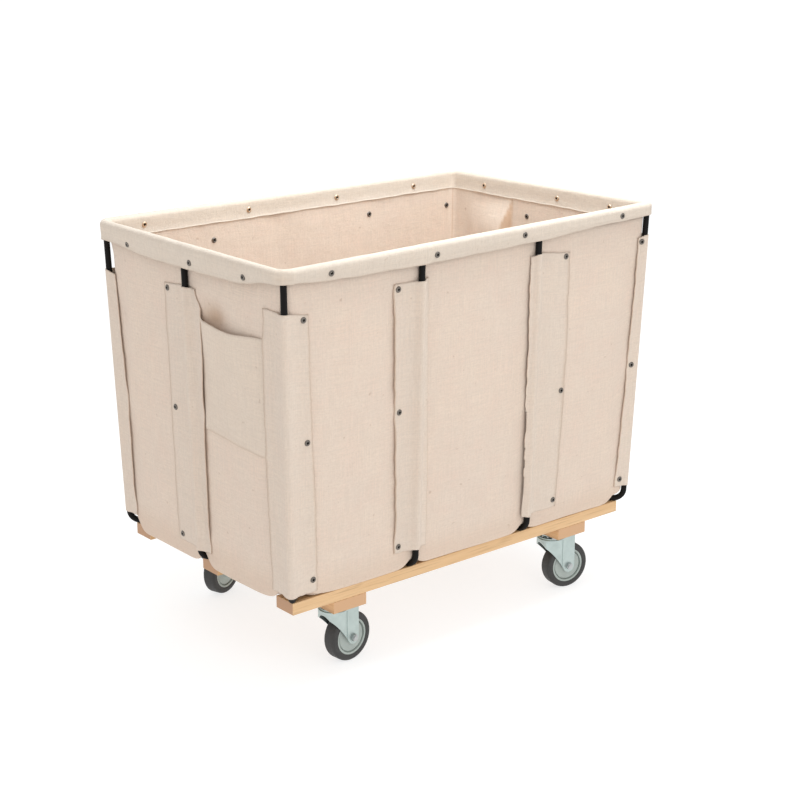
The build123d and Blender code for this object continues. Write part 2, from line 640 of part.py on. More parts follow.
def wheel_core():
    bore = SLEEVE_RADIUS + RUNNING
    half = [
        (bore, HUB_HALF),
        (HUB_RADIUS, HUB_HALF),
        (HUB_RADIUS + 2 * WEB_SLOPE, WEB_HALF + WEB_SLOPE),
        (WEB_RADIUS, WEB_HALF),
        (WEB_RADIUS + WEB_SLOPE, GROOVE_HALF),
        (BAND_INNER - WEB_SLOPE / 2, GROOVE_HALF),
        (BAND_INNER, BAND_HALF),
        (CORE_RADIUS, BAND_HALF),
    ]
    section = half + [(r, -y) for r, y in reversed(half)]
    return one_solid(turned(section, 0, ()))


def wheel_tyre():
    half = TYRE_WIDTH / 2
    bead = CORE_RADIUS + BEAD_REACH
    points = [
        (CORE_RADIUS, half - WEB_SLOPE),
        (bead, half),
        (WHEEL_RADIUS, half),
        (WHEEL_RADIUS, -half),
        (bead, -half),
        (CORE_RADIUS, WEB_SLOPE - half),
    ]
    return one_solid(turned(points, TYRE_SHOULDER, ((WHEEL_RADIUS, half),)))


def axle():
    """The axle bolt, its head on the +Y side of the fork, and its nut on the other."""
    head = Pos(CASTER_TRAIL, FORK_OUTSIDE, WHEEL_RADIUS) * Rot(-90, 0, 0) * hexagon(AXLE_FLATS, 0, AXLE_HEAD)
    bolt = one_solid(head + across(AXLE_RADIUS, -FORK_OUTSIDE - AXLE_TAIL, FORK_OUTSIDE + PAST))
    nut = Pos(CASTER_TRAIL, -FORK_OUTSIDE, WHEEL_RADIUS) * Rot(90, 0, 0) * hexagon(AXLE_FLATS, 0, AXLE_NUT)
    nut = one_solid(nut - across(AXLE_RADIUS + SHANK_GAP, -FORK_OUTSIDE - AXLE_NUT - PAST, 0))
    return Compound(children=[bolt, nut])


def caster_plate():
    plate = block(-PLATE_X / 2, PLATE_X / 2, -PLATE_Y / 2, PLATE_Y / 2, PLATE_LOW, CASTER_HEIGHT)
    plate = fillet(plate.edges().filter_by(Axis.Z), PLATE_CORNER)
    dome = cylinder(DOME_RADIUS, DOME_LOW, PLATE_LOW)
    plate += fillet(dome.edges().sort_by(Axis.Z)[0], DOME_ROUND)
    plate -= cylinder(KINGPIN_RADIUS + SHANK_GAP, 0, CASTER_HEIGHT + PAST)
    for i in (-1, 1):
        for j in (-1, 1):
            x, y = i * BOLT_X / 2, j * BOLT_Y / 2
            plate -= cylinder(BOLT_RADIUS + SHANK_GAP, 0, CASTER_HEIGHT + PAST, x, y)
    return one_solid(plate)


fork_shape = caster_fork()
axle_shape = axle()
axle_sleeve_shape = one_solid(
    across(SLEEVE_RADIUS, -FORK_INSIDE, FORK_INSIDE)
    - across(AXLE_RADIUS + SHANK_GAP, -FORK_INSIDE, FORK_INSIDE))
core_shape = wheel_core()
tyre_shape = wheel_tyre()
plate_shape = caster_plate()

kingpins = []
balls = []
for corner, (side_x, side_y, heading) in CORNERS.items():
    x, y = CASTER_X[side_x], side_y * SWIVEL_Y
    stand = Pos(x, y, 0)
    swivelled = stand * Rot(0, 0, heading)
    parts[f"caster_plate_{corner}"] = stand * plate_shape
    parts[f"caster_fork_{corner}"] = swivelled * fork_shape
    parts[f"axle_{corner}"] = swivelled * axle_shape
    parts[f"axle_sleeve_{corner}"] = swivelled * axle_sleeve_shape
    parts[f"wheel_core_{corner}"] = swivelled * core_shape
    parts[f"tyre_{corner}"] = swivelled * tyre_shape
    pin_low = CROWN_LOW - KINGPIN_DROP
    pin = cylinder(KINGPIN_RADIUS, pin_low, CASTER_HEIGHT - SEAT_GAP, x, y)
    kingpins.append(one_solid(pin + cylinder(KINGPIN_HEAD, pin_low, CROWN_LOW - HEAD_GAP, x, y)))
    ball_z = DOME_LOW - BALL_RADIUS - BALL_GAP
    for i in range(BALLS):
        around = radians(360 / BALLS * i)
        spot = Pos(x + BALL_CIRCLE * cos(around), y + BALL_CIRCLE * sin(around), ball_z)
        balls.append(spot * Sphere(BALL_RADIUS))
parts["kingpins"] = Compound(children=kingpins)
parts["swivel_balls"] = Compound(children=balls)

bolts = []
nuts = []
for x, y in BOLT_SPOTS:
    head_low = RUNNER_TOP if on_runner(y) else CROSS_TOP
    head = cylinder(BOLT_HEAD, head_low, head_low + BOLT_HEAD_THICK, x, y)
    head = fillet(head.edges().sort_by(Axis.Z)[-1], BOLT_ROUND)
    bolts.append(one_solid(head + cylinder(BOLT_RADIUS, PLATE_LOW - BOLT_TAIL, head_low, x, y)))
    nut = hexagon(NUT_FLATS, PLATE_LOW - NUT_THICK, PLATE_LOW, x, y)
    nuts.append(one_solid(nut - cylinder(BOLT_RADIUS + SHANK_GAP, 0, CASTER_HEIGHT, x, y)))
parts["caster_bolts"] = Compound(children=bolts)
parts["caster_nuts"] = Compound(children=nuts)

for name, shape in parts.items():
    export_step(shape, f"parts/{name}.step")
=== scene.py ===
import json
import math
import random
from collections import namedtuple

import bpy
from mathutils import Matrix, Vector, noise


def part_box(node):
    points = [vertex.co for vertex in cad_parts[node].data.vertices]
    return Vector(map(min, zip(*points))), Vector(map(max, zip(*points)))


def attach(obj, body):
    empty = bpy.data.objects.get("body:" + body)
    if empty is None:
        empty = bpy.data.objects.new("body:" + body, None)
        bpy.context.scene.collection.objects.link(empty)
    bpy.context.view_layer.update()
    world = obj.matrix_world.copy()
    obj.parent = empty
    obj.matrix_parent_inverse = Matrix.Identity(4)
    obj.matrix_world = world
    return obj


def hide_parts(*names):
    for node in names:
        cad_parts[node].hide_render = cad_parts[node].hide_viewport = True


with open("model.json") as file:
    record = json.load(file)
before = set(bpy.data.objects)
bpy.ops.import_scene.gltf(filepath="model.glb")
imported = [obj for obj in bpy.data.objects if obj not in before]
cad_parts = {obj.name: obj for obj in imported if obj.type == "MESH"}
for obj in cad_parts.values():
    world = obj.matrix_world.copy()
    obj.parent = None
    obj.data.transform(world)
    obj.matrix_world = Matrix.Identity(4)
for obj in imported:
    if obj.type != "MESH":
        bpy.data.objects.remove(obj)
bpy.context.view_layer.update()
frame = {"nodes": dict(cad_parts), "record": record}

# A canvas basket truck. Lengths below are in millimetres in the shared frame: +X along the long
# side, -Y the near side, +Z up, and the pocket on the -X end. Meshes are made in metres.
MM = 0.001
record = frame["record"]
scene = bpy.context.scene


def cad(node):
    """A CAD node's lowest and highest corner, in millimetres."""
    low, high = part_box(node)
    return low / MM, high / MM


# ---- sizes taken from the frame ---------------------------------------------------------------
ring_low, ring_high = cad("rim_ring")
RING_RADIUS = (ring_high.z - ring_low.z) / 2
RING_Z = (ring_high.z + ring_low.z) / 2
RING_X = ring_high.x - RING_RADIUS
RING_Y = ring_high.y - RING_RADIUS
RING_CORNER = 24.0                  # radius of its corners in plan

rib_low, rib_high = cad("side_rib_right")
RIB_RADIUS = (rib_high.x - rib_low.x) / 2
SIDE_RIB_X = (rib_high.x + rib_low.x) / 2
end_low, end_high = cad("end_rib_left")
END_RIB_Y = (end_high.y + end_low.y) / 2
CORNER_X = RING_X - RING_CORNER * (1 - math.cos(math.radians(45)))
CORNER_Y = RING_Y - RING_CORNER * (1 - math.cos(math.radians(45)))

RIB_GAP = 0.5                       # rib to the canvas behind it
CANVAS_UNDER_RING = 2.0             # the ring's underside to the top of the canvas walls
CANVAS_OVER_RIBS = 2.5              # the bars under the basket to its floor
HEM_OVER_RING = 2.4                 # the ring to the outside of the rolled bead
LEAN_X = 0.02849                    # how much each wall leans in, per unit of height
LEAN_Y = 0.02532
WALL_X = RING_X - RIB_RADIUS - RIB_GAP
WALL_Y = RING_Y - RIB_RADIUS - RIB_GAP
WALL_TOP = RING_Z - RING_RADIUS - CANVAS_UNDER_RING
RUNNER_TOP = cad("runner_near")[1].z
FLOOR_Z = RUNNER_TOP + 2 * RIB_RADIUS + CANVAS_OVER_RIBS

# rounding between wall and floor: at a rib, between ribs, and between them on the end walls
EDGE_AT_RIB, EDGE_BETWEEN, EDGE_AT_END = 16.0, 8.0, 4.4
FLOOR_TUCK = 0.99                   # the floor's outermost ring, as a share of its size
END_FOOT_REACH = 175.0              # end ribs' feet under the floor, from the wall line at ring height
CORNER_FOOT_REACH = 85.0            # the same for the corner ribs' feet, along X or Y
HEM_RADIUS = RING_RADIUS + HEM_OVER_RING

CANVAS = 1.8                        # thickness of the cloths
STRIP = 1.6
HEM_CLOTH = 1.8
WASHER_BACK = CANVAS + 0.3          # a sleeve rivet's inner end, behind the wall's outer face

# walls: middle of the outer face at ring height, direction along it, outward, lean
WALLS = {
    "near": ((0, -WALL_Y), (1, 0), (0, -1), LEAN_Y),
    "right": ((WALL_X, 0), (0, 1), (1, 0), LEAN_X),
    "far": ((0, WALL_Y), (-1, 0), (0, 1), LEAN_Y),
    "left": ((-WALL_X, 0), (0, -1), (-1, 0), LEAN_X),
}
RIBS = {
    "near": (-CORNER_X, -SIDE_RIB_X, SIDE_RIB_X, CORNER_X),
    "right": (-CORNER_Y, END_RIB_Y, CORNER_Y),
    "far": (-CORNER_X, -SIDE_RIB_X, SIDE_RIB_X, CORNER_X),
    "left": (-CORNER_Y, -END_RIB_Y, CORNER_Y),
}
# the direction that each wall faces in degrees, and the corner and the wall that follow it, going
# round anticlockwise seen from above
FACES = {"near": -90, "right": 0, "far": 90, "left": 180}
NEXT_CORNER = {"near": "near_right", "right": "far_right", "far": "far_left", "left": "near_left"}
NEXT_WALL = {"near": "right", "right": "far", "far": "left", "left": "near"}
SIGNS = {"near_left": (-1, -1), "near_right": (1, -1), "far_right": (1, 1), "far_left": (-1, 1)}
# radius of the canvas's upright corners, below the hem
CANVAS_CORNER = {"near_left": 22.0, "near_right": 18.0, "far_left": 34.0, "far_right": 19.0}


# ---- small helpers ----------------------------------------------------------------------------
def clamp(t):
    return max(0.0, min(1.0, t))


def ease(t):
    t = clamp(t)
    return t * t * (3 - 2 * t)


def mix(a, b, t):
    return a + (b - a) * t


def hump(t, middle, width):
    return math.exp(-((t - middle) / width) ** 2)


def through(points):
    """A smooth line through (place, value) points, level past its ends."""
    def at(t):
        if t <= points[0][0]:
            return points[0][1]
        for (a, va), (b, vb) in zip(points, points[1:]):
            if t <= b:
                return mix(va, vb, ease((t - a) / (b - a)))
        return points[-1][1]
    return at


def waver(seed, height, spans=(170, 83, 37)):
    """A wandering line: sines of these wave lengths with fixed random phases."""
    rng = random.Random(seed)
    terms = [(span, rng.uniform(0, math.tau), rng.uniform(0.5, 1)) for span in spans]

    def at(t):
        return height * sum(w * math.sin(math.tau * t / span + p) for span, p, w in terms) / len(terms)
    return at


def cloth_object(name, grid, closed=False, thickness=CANVAS, flat_rows=0, tints=None):
    """A sheet from rows of points, its rows going up and its columns anticlockwise."""
    rows, cols = len(grid), len(grid[0])
    mesh = bpy.data.meshes.new(name)
    faces = [
        (r * cols + c, r * cols + (c + 1) % cols, (r + 1) * cols + (c + 1) % cols, (r + 1) * cols + c)
        for r in range(rows - 1) for c in range(cols if closed else cols - 1)]
    mesh.from_pydata([p * MM for row in grid for p in row], [], faces)
    mesh.polygons.foreach_set("use_smooth", [True] * len(faces))
    ring = grid[rows * 2 // 3] + ([grid[rows * 2 // 3][0]] if closed else [])
    post = [row[cols // 3] for row in grid]
    u = [0.0]
    for a, b in zip(ring, ring[1:]):
        u.append(u[-1] + (b - a).length * MM)
    v = [0.0]
    for a, b in zip(post, post[1:]):
        v.append(v[-1] + (b - a).length * MM)
    layer = mesh.uv_layers.new(name="cloth")
    span = cols if closed else cols - 1
    loop = 0
    for index, face in enumerate(faces):
        r, c = divmod(index, span)
        for corner, vertex in enumerate(face):
            if r < flat_rows:
                p = mesh.vertices[vertex].co
                layer.data[loop].uv = (p.x, p.y)
            else:
                layer.data[loop].uv = (u[c + (corner in (1, 2))], v[r + (corner in (2, 3))])
            loop += 1
    # per point tint: painted shade and a darker lower edge above 0, painted highlight below 0
    painted_light_and_tone = mesh.attributes.new("tint", "FLOAT", "POINT")
    if tints:
        painted_light_and_tone.data.foreach_set("value", [t for row in tints for t in row])
    obj = bpy.data.objects.new(name, mesh)
    scene.collection.objects.link(obj)
    solid = obj.modifiers.new("cloth", "SOLIDIFY")
    solid.thickness = thickness * MM
    solid.offset = -1
    return obj


# ---- the canvas walls -------------------------------------------------------------------------
def on_wall(wall, a, z, n=0.0):
    """A point n outward of a wall's flat outer face."""
    (x, y), (ax, ay), (nx, ny), lean = WALLS[wall]
    out = n - lean * (RING_Z - z)
    return Vector((x + ax * a + nx * out, y + ay * a + ny * out, z))


def half_length(wall, z):
    """From a wall's middle to the corner with the next wall."""
    drop = RING_Z - z
    return WALL_X - LEAN_X * drop if wall in ("near", "far") else WALL_Y - LEAN_Y * drop


def bay(wall, a):
    """0 at the ribs and 1 midway between two of them."""
    ribs = RIBS[wall]
    for left, right in zip(ribs, ribs[1:]):
        if left <= a <= right:
            return math.sin(math.pi * (a - left) / (right - left))
    return 0.0


def corner_radius(corner, z):
    """Radius of the canvas's upright corner in plan: tight under the hem, easier below."""
    return mix(18.0, CANVAS_CORNER[corner], ease((WALL_TOP - z) / 60))


LAP_Y = 102.0                       # the lap in the right wall starts here, under the hem
LAP_TOP = 829.0                     # and widens downward from this height
LAP_WIDTH, LAP_HEIGHT = 23.0, 67.0  # to this width, over this height


def lap_edge(z):
    """The lap's other side, further along the right wall the lower it is."""
    return LAP_Y + LAP_WIDTH * clamp((LAP_TOP - z) / LAP_HEIGHT)


def cloth(wall, a, z):
    """How far the canvas stands out from the flat wall: slack between the ribs, and creases."""
    height = clamp((z - FLOOR_Z) / (WALL_TOP - FLOOR_Z))
    slack = max(0.0, bay(wall, a)) ** 1.3
    tall = max(0.0, math.sin(math.pi * height)) ** 0.7
    side = list(WALLS).index(wall) * 17.3
    crease = 1.5 * noise.noise(Vector((a / 85, z / 260, side)))
    crease += 0.7 * noise.noise(Vector((a / 34, z / 95, side + 5)))
    out = slack * tall * 4.5 + slack * (0.3 + 0.7 * tall) * crease * 2.4
    gathers = noise.noise(Vector((a / 24, z / 210, side + 9)))
    out += 1.1 * slack * ease((z - 690) / 120) * ease((WALL_TOP + 8 - z) / 30) * gathers
    if wall == "left":
        out -= 10 * hump(a, 82, 40) * hump(z, 738, 34)
        out += 4 * hump(a, 160, 46) * hump(z, 770, 40)
    if wall == "right":
        edge = lap_edge(z)
        depth = 20 * ease((832 - z) / 90) * ease((z - 430) / 250)
        out -= depth * ease((a - LAP_Y) / max(edge - LAP_Y, 4)) * ease((290 - a) / 150)
    return out * ease((half_length(wall, z) - 36 - abs(a)) / 40)


def wall_tint(wall, a, z):
    """Painted warm shade in the pocket's mouth and down the lap's fold, and a warm darkening towards the
    lower edge.
    """
    tint = 0.22 * ease((FLOOR_Z + 60 - z) / 60)
    if wall == "left":
        # painted shade in the recess behind the pocket's mouth
        tint += 0.7 * hump(a, 74, 34) * hump(z, 732, 22)
    if wall == "right":
        edge = lap_edge(z)
        # painted shade in the lap's fold, where the wall steps back
        fold = ease((a - LAP_Y + 2) / 3) * ease((edge + 2 - a) / 3)
        tint += 0.9 * fold * ease((833 - z) / 6) * ease((z - 560) / 120)
    return tint


def between_ribs(wall, a):
    """0 at a rib and 1 a little way off it."""
    gaps = [abs(a - rib) for rib in RIBS[wall][1:-1]]
    gaps.append(max(0.0, half_length(wall, FLOOR_Z) - 24 - abs(a)))
    return 1 - math.exp(-(min(gaps) / 20) ** 2)


def bottom(wall, a):
    """Height of the lower edge: up on the bars, and hanging to the boards between them."""
    lift = 8.0 * hump(a, half_length(wall, FLOOR_Z), 55) if wall == "left" else 0.0
    lift += 8.0 * hump(a, -half_length(wall, FLOOR_Z), 55) if wall == "near" else 0.0
    depth = 24.0 if wall in ("left", "right") else 13.0
    hang = between_ribs(wall, a) * (depth + 0.8 * math.sin(a / 61))
    return FLOOR_Z - hang * (1 - 0.1 * lift) + lift


def lower_edge(wall, a):
    """Rounding between wall and floor: a narrow fold where the end walls hang past the boards."""
    loose = EDGE_AT_END if wall in ("left", "right") else EDGE_BETWEEN
    return mix(EDGE_AT_RIB, loose, between_ribs(wall, a))


SIDE_STEPS = {"near": 150, "right": 120, "far": 150, "left": 120}
CORNER_STEPS = 12
FLOOR_STEPS, EDGE_STEPS, WALL_STEPS = 24, 8, 100


def canvas_ring(turn, share):
    """One ring of the canvas: round its lower edge by turn, then up the walls by share."""
    points, tints = [], []
    corners = list(NEXT_CORNER.values())

    def level(wall, a):
        low, edge = bottom(wall, a), lower_edge(wall, a)
        inset = edge * (1 - math.sin(turn))
        return mix(low + edge * (1 - math.cos(turn)), WALL_TOP, share), inset

    for index, wall in enumerate(WALLS):
        corner = NEXT_CORNER[wall]
        before = corners[index - 1]
        around = mix(FLOOR_Z, WALL_TOP, share)
        for step in range(SIDE_STEPS[wall] + 1):
            along = step / SIDE_STEPS[wall]
            reach = half_length(wall, around)
            guess = mix(corner_radius(before, around) - reach, reach - corner_radius(corner, around), along)
            z, inset = level(wall, guess)
            reach = half_length(wall, z) - inset
            a = mix(corner_radius(before, z) - reach, reach - corner_radius(corner, z), along)
            points.append(on_wall(wall, a, z, cloth(wall, a, z) - inset))
            tints.append(wall_tint(wall, a, z))
        sx, sy = SIGNS[corner]
        z, inset = level(wall, half_length(wall, around))
        radius = corner_radius(corner, z)
        cx = sx * (half_length("near", z) - inset - radius)
        cy = sy * (half_length("right", z) - inset - radius)
        for step in range(1, CORNER_STEPS):
            angle = math.radians(FACES[wall] + 90 * step / CORNER_STEPS)
            points.append(Vector((cx + radius * math.cos(angle), cy + radius * math.sin(angle), z)))
            # a dark line down the far right inner corner: a seam, with painted shade where the two walls meet
            seam_and_corner_shade = 0.55 if corner == "far_right" and step == CORNER_STEPS // 2 else 0.0
            tints.append(seam_and_corner_shade + 0.2 * ease((FLOOR_Z + 60 - z) / 60))
    return points, tints


def bar_distance(x, y):
    """How far a place on the floor is from the nearest bar or foot under it."""
    side_bar = abs(abs(x) - SIDE_RIB_X)
    past_toe = max(0.0, WALL_X - END_FOOT_REACH - abs(x))
    end_bar = math.hypot(y - END_RIB_Y, past_toe)
    along = (CORNER_X + CORNER_Y - abs(x) - abs(y)) / 2
    off_line = (CORNER_X - CORNER_Y - abs(x) + abs(y)) / 2
    corner_foot = math.sqrt(2) * math.hypot(off_line, max(0.0, along - CORNER_FOOT_REACH))
    return min(side_bar, end_bar, corner_foot)


def make_canvas():
    rings = []
    foot, _ = canvas_ring(0, 0)
    for share in [0.004 + step / FLOOR_STEPS for step in range(FLOOR_STEPS)] + [FLOOR_TUCK]:
        level = []
        for p in foot:
            x, y = p.x * share, p.y * share
            slack = 1 - math.exp(-(bar_distance(x, y) / 22) ** 2)
            sag = mix(2, 12, ease(share) ** 3) * slack
            lump = 3.0 * abs(noise.noise(Vector((x / 90, y / 90, 3.0)))) * (1 - share)
            level.append(Vector((x, y, max(FLOOR_Z - sag + lump, RUNNER_TOP + 1.5))))
        rings.append((level, [0.15] * len(level)))
    for step in range(EDGE_STEPS):
        rings.append(canvas_ring(math.radians(90 * step / EDGE_STEPS), 0))
    for step in range(WALL_STEPS + 1):
        rings.append(canvas_ring(math.radians(90), step / WALL_STEPS))
    return cloth_object("basket", [r[0] for r in rings], closed=True, flat_rows=FLOOR_STEPS + 1,
                        tints=[r[1] for r in rings])


# ---- the rolled hem ---------------------------------------------------------------------------
HEM_EDGE = {                        # lower edge of the outer flap along each wall
    "near": through([(-468, 842), (-378, 836), (-297, 834), (-12, 835), (163, 840), (365, 849), (468, 852)]),
    "right": through([(-295, 852), (-150, 842), (0, 834), (150, 831), (295, 836)]),
    "far": through([(-468, 834), (-200, 830), (0, 831), (200, 829), (468, 828)]),
    "left": through([(-295, 829), (-125, 819), (-18, 820), (72, 820), (184, 823), (295, 840)]),
}
HEM_RIVETS = {                      # places of the rivets along each wall
    "near": (-387, -128, 106, 390),
    "right": (-206, -44, 198),
    "far": (-356, -124, 122, 392),
    "left": (-206, 26, 205),
}
HEM_RIVET_Z = {                     # and their heights
    "near": (851, 850, 858, 862),
    "right": (852, 849, 846),
    "far": (844, 844, 845, 846),
    "left": (834, 835, 838),
}
HEM_STEPS = {"near": 130, "right": 84, "far": 130, "left": 84}      # columns of the hem's mesh
HEM_CORNER_STEPS = 12
HEM_CORNER_RUN = 38.0               # length of the hem's line round a corner
OUTER_SHARES = (0.0, 0.1, 0.25, 0.42, 0.6, 0.78, 0.9, 1.0)    # points up the outer flap
INNER_SHARES = (0.0, 0.25, 0.5, 0.75, 0.9, 0.97, 1.0)         # and down the inner one
ROLL_STEPS = 12                     # over the ring between them
INNER_EDGE = 827.0                  # height of the inner flap's lower edge
hem_wave = waver(3, 1.4, (260, 120, 55))
inner_wave = waver(4, 1.6, (300, 140, 60))


def hem_rise(x, y):
    """The hem rides up on the ring towards the near right corner."""
    return max(-0.3, 0.0115 * x - 0.0175 * y)


def hem_section(wall, a, edge, rise):
    """(offset from the ring's line, height) points: outer flap, over the ring, inner flap."""
    side = list(WALLS).index(wall)
    pinch = sum(hump(a, rivet, 15) for rivet in HEM_RIVETS[wall])
    slack = max(0.0, bay(wall, a)) ** 0.9
    flap = 8.6 - 3.4 * slack - 1.2 * pinch * slack
    flap += 0.8 * noise.noise(Vector((a / 38, side * 9.1, 2.0)))
    lower = edge + hem_wave(a)
    middle = RING_Z + rise
    pucker = 0.7 * noise.noise(Vector((a / 17, side * 5.3, 6.0))) * (1 - 0.5 * slack)
    points = []
    for share in OUTER_SHARES:
        z = mix(lower, middle, share)
        hold = ease((z - lower + 1) / max(RING_Z - 3 - lower, 3))
        curl = 0.9 * hump(share, 0, 0.1)
        points.append((mix(flap, HEM_RADIUS, hold) + curl + pucker * (1 - share) * hold, z))
    roll = 0.5 * noise.noise(Vector((a / 60, side * 4.7, 8.0)))
    for step in range(1, ROLL_STEPS):
        turn = math.pi * step / ROLL_STEPS
        ripple = pucker * 0.5 * math.sin(turn * 2)
        points.append(((HEM_RADIUS + roll * math.sin(turn) + max(ripple, 0)) * math.cos(turn),
                       middle + (HEM_RADIUS + roll + ripple * 0.6) * math.sin(turn)))
    inner = INNER_EDGE + 0.5 * rise + inner_wave(a + 40)
    for share in INNER_SHARES:
        flare = 1.3 * ease((share - 0.7) / 0.3)
        offset = -HEM_RADIUS - flare + 0.6 * pinch * hump(share, 0.45, 0.25)
        points.append((offset, mix(middle, inner, share)))
    return points


def hem_columns():
    """Round the rim: wall, place along it, lower edge, point, outward direction, share of a corner."""
    columns = []
    for wall in WALLS:
        reach = (RING_X if wall in ("near", "far") else RING_Y) - RING_CORNER
        steps = HEM_STEPS[wall]
        _, (ax, ay), (nx, ny), _ = WALLS[wall]
        line = RING_Y if wall in ("near", "far") else RING_X
        for step in range(steps + 1):
            a = mix(-reach, reach, step / steps)
            base = Vector((ax * a + nx * line, ay * a + ny * line, 0))
            columns.append((wall, a, HEM_EDGE[wall](a), base, Vector((nx, ny, 0)), 0.0))
        sx, sy = SIGNS[NEXT_CORNER[wall]]
        centre = Vector((sx * (RING_X - RING_CORNER), sy * (RING_Y - RING_CORNER), 0))
        following = NEXT_WALL[wall]
        far_reach = (RING_X if following in ("near", "far") else RING_Y) - RING_CORNER
        for step in range(1, HEM_CORNER_STEPS):
            share = step / HEM_CORNER_STEPS
            turn = math.radians(FACES[wall] + 90 * share)
            out = Vector((math.cos(turn), math.sin(turn), 0))
            edge = mix(HEM_EDGE[wall](reach), HEM_EDGE[following](-far_reach), share)
            base = centre + out * RING_CORNER
            columns.append((wall, reach + HEM_CORNER_RUN * share, edge, base, out, math.sin(math.pi * share)))
    return columns


def make_hem():
    grid, tints = [], []
    for wall, a, edge, base, out, corner in hem_columns():
        column, shade = [], []
        section = hem_section(wall, a, edge, hem_rise(base.x, base.y))
        for index, (offset, z) in enumerate(section):
            dent = corner * 0.9 * hump(index, 4, 2.0) * (1 + 0.6 * math.sin(a * 0.9))
            column.append(base + out * (offset - dent) + Vector((0, 0, z)))
            # painted shadow along the outer flap's lower edge, and painted shade in the corners' dents
            flap_edge_and_dent_shade = 0.35 * (index == 0) + 0.2 * corner * hump(index, 4, 1.6)
            # the last two rows, the inner flap's cut edge, get a painted pale highlight
            shade.append(flap_edge_and_dent_shade - 0.9 * (index >= len(section) - 2))
        grid.append(column)
        tints.append(shade)
    rows = [list(row) for row in zip(*grid)]
    return cloth_object("rolled_hem", rows, closed=True, thickness=HEM_CLOTH,
                        tints=[list(row) for row in zip(*tints)])


# ---- the sleeves over the ribs ----------------------------------------------------------------
# Edges are (height, offset from the rib), tops (offset, height) and rivets (offset, height). How
# far each edge wavers, and how far it lifts off the wall, come last.
WallStrip = namedtuple("WallStrip", "wall rib left right low top rivets left_edge right_edge")
WALL_STRIPS = {
    "near_left": WallStrip(
        "near", -SIDE_RIB_X, [(240, -54), (801, -67)], [(240, 31), (801, 21)], 240,
        [(-67, 802), (0, 801), (24, 804)], [(-56, 791), (-48, 541), (-43, 254)], (2.6, 4.2), (0.8, 0.8)),
    "near_right": WallStrip(
        "near", SIDE_RIB_X, [(236, -15), (804, -19)], [(236, 88), (520, 96), (804, 95)], 236,
        [(-19, 806), (0, 811), (95, 801)], [(84, 793), (87, 501), (80, 253)], (2.8, 3.6), (1.6, 1.0)),
    "left_end": WallStrip(
        "left", -END_RIB_Y, [(222, -84), (500, -80), (780, -82)],
        [(222, 34), (483, 39), (660, 50), (734, 46), (776, 27)], 222,
        [(-82, 775), (0, 781), (28, 779)], [(-71, 765), (-65, 516), (-70, 236)], (1.0, 0.8), (2.2, 4.4)),
    "far_left": WallStrip(
        "far", SIDE_RIB_X, [(238, -24), (802, -21)], [(238, 64), (802, 71)], 238,
        [(-21, 803), (71, 800)], [(59, 789), (55, 520), (52, 253)], (2.2, 2.4), (1.0, 1.0)),
    "far_right": WallStrip(
        "far", -SIDE_RIB_X, [(236, -70), (806, -74)], [(236, 24), (806, 21)], 236,
        [(-74, 804), (21, 807)], [(-64, 793), (-60, 521), (-62, 253)], (1.0, 1.2), (2.4, 2.8)),
    "right_end": WallStrip(
        "right", END_RIB_Y, [(224, -38), (806, -34)], [(224, 60), (806, 56)], 224,
        [(-34, 805), (56, 803)], [(44, 793), (48, 515), (46, 238)], (2.2, 2.6), (1.0, 1.0)),
}
ARCH = 16.0                         # half the width of the arch over a rib
ARCH_RISE, ARCH_SPREAD = 13.3, 12.0
STRIP_ROWS = 150
RAGGED = (31, 13, 7.5)              # wave lengths of a raw cut edge
RAGGED_DEPTH = 0.9
SEAT = STRIP + 0.3                  # a strip's outer face off the wall
OVER_POCKET = 1.9                   # and how much more where it covers the pocket's side
CURL = 9.0                          # how quickly a lifted edge comes down to the wall
HELD = 34.0                         # how far above and below it a rivet holds an edge down
NEVER_FLAT = 0.12                   # share of its lift that an edge keeps beside a rivet


def edge_hold(rivets, z):
    """The share of its lift that an edge has: least beside a rivet, 1 away from all of them."""
    return clamp(1 + NEVER_FLAT - max(hump(z, height, HELD) for _, height in rivets))


def strip_point(name, offset, z):
    """A point of a wall strip's outer face."""
    strip = WALL_STRIPS[name]
    held = edge_hold(strip.rivets, z)
    start, end = through(strip.left)(z), through(strip.right)(z)
    on_pocket = ease((offset - 20) / 12) * ease((745 - z) / 12) * ease((z - 480) / 12)
    over = OVER_POCKET * (name == "left_end") * on_pocket
    edge = strip.left_edge[1] * held * math.exp(-(offset - start) / CURL)
    edge += strip.right_edge[1] * held * math.exp(-(end - offset) / CURL)
    a = strip.rib + offset
    out = cloth(strip.wall, a, z) + SEAT + ARCH_RISE * hump(offset, 0, ARCH_SPREAD) + edge + over
    out += 0.5 * noise.noise(Vector((offset / 22, z / 60, 11.0 + len(name))))
    return on_wall(strip.wall, a, z, out)


def edge_shade(count, row):
    """The darker raw edges of one row of a strip, and of its first and last row."""
    ends = 0.1 * (row in (0, STRIP_ROWS))
    return [0.5 * (i in (0, count - 1)) + ends for i in range(count)]


